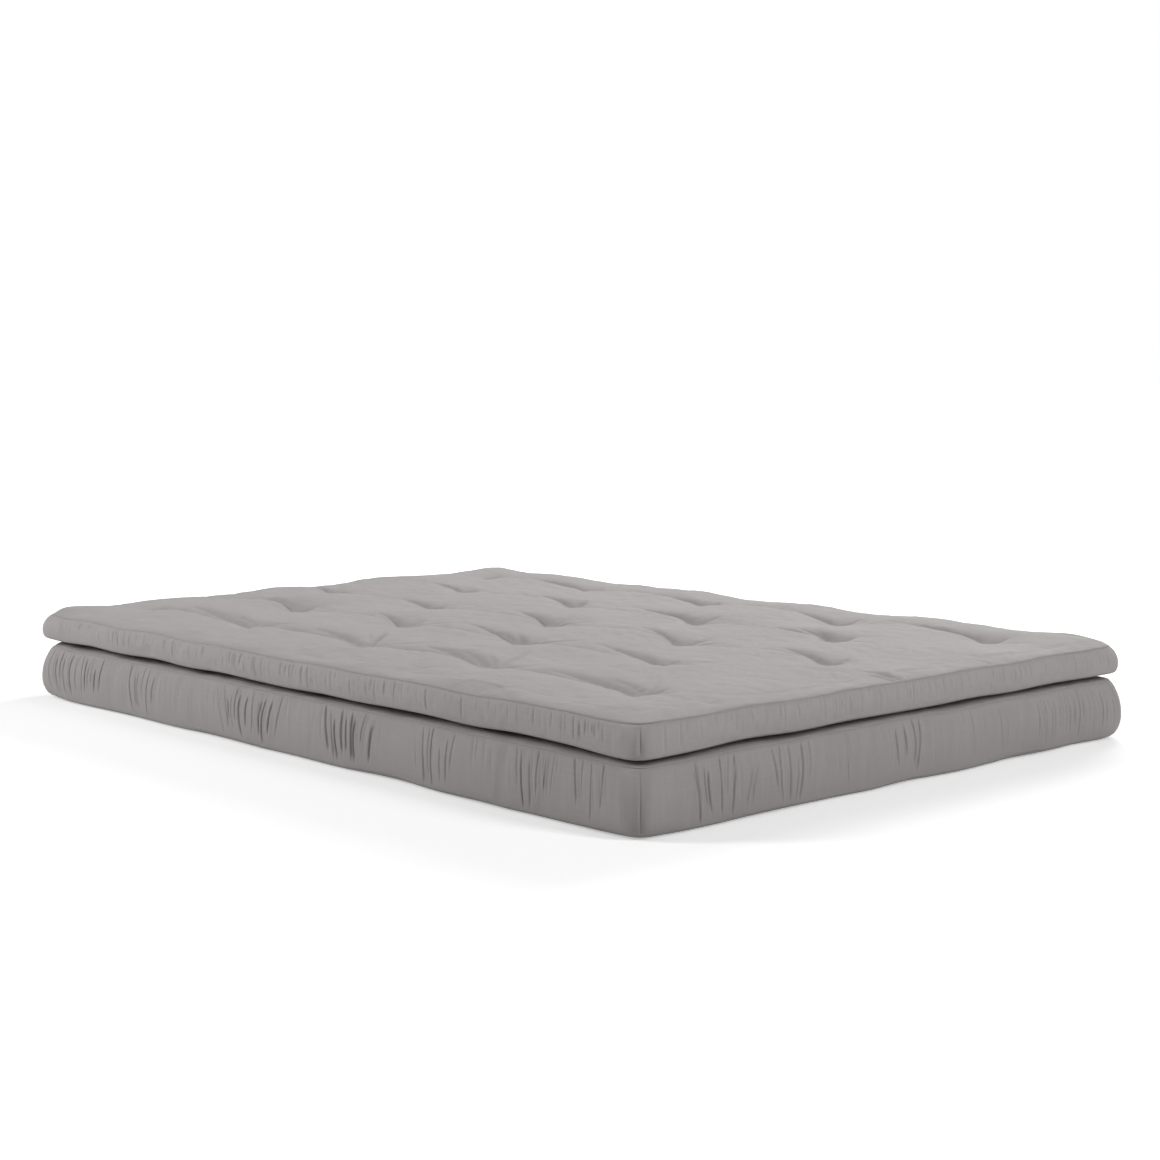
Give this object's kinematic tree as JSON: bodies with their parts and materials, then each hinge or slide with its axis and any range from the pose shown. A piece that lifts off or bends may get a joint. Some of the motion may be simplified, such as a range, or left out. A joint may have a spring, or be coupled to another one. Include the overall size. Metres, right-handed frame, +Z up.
{
  "type": "futon mattress",
  "caption": "Low rectangular futon: a thick boxed cotton mattress with a thinner tufted topper lying loose on it, for sleeping on a floor or a slatted base.",
  "frame": {"origin": "on the floor under the middle of the base mattress", "axes": "+X along the long sides, +Y along the short sides, +Z up"},
  "size_m": [2, 1.4, 0.2043],
  "materials": {
    "base_cover": "matte woven cotton, warm grey",
    "topper_cover": "matte woven cotton, warm grey",
    "cotton_batt": "unbleached carded cotton wadding",
    "foam": "open-cell foam, off-white",
    "tie_tape": "flat woven cotton tape, grey"
  },
  "bodies": {
    "base_mattress": {"base_top_panel": "base_cover", "base_bottom_panel": "base_cover", "base_front_band": "base_cover", "base_right_band": "base_cover", "base_back_band": "base_cover", "base_left_band": "base_cover", "base_bottom_batt": "cotton_batt", "base_foam": "foam", "base_top_batt": "cotton_batt", "base_tuft_ties": "tie_tape"},
    "topper_mattress": {"topper_top_panel": "topper_cover", "topper_bottom_panel": "topper_cover", "topper_front_band": "topper_cover", "topper_right_band": "topper_cover", "topper_back_band": "topper_cover", "topper_left_band": "topper_cover", "topper_bottom_batt": "cotton_batt", "topper_foam": "foam", "topper_top_batt": "cotton_batt", "topper_tuft_ties": "tie_tape"}
  },
  "joints": [
    {"name": "topper_lift", "type": "slide", "parent": "base_mattress", "child": "topper_mattress", "axis": [0, 0, 1], "range_m": [0, 0.3]}
  ]
}
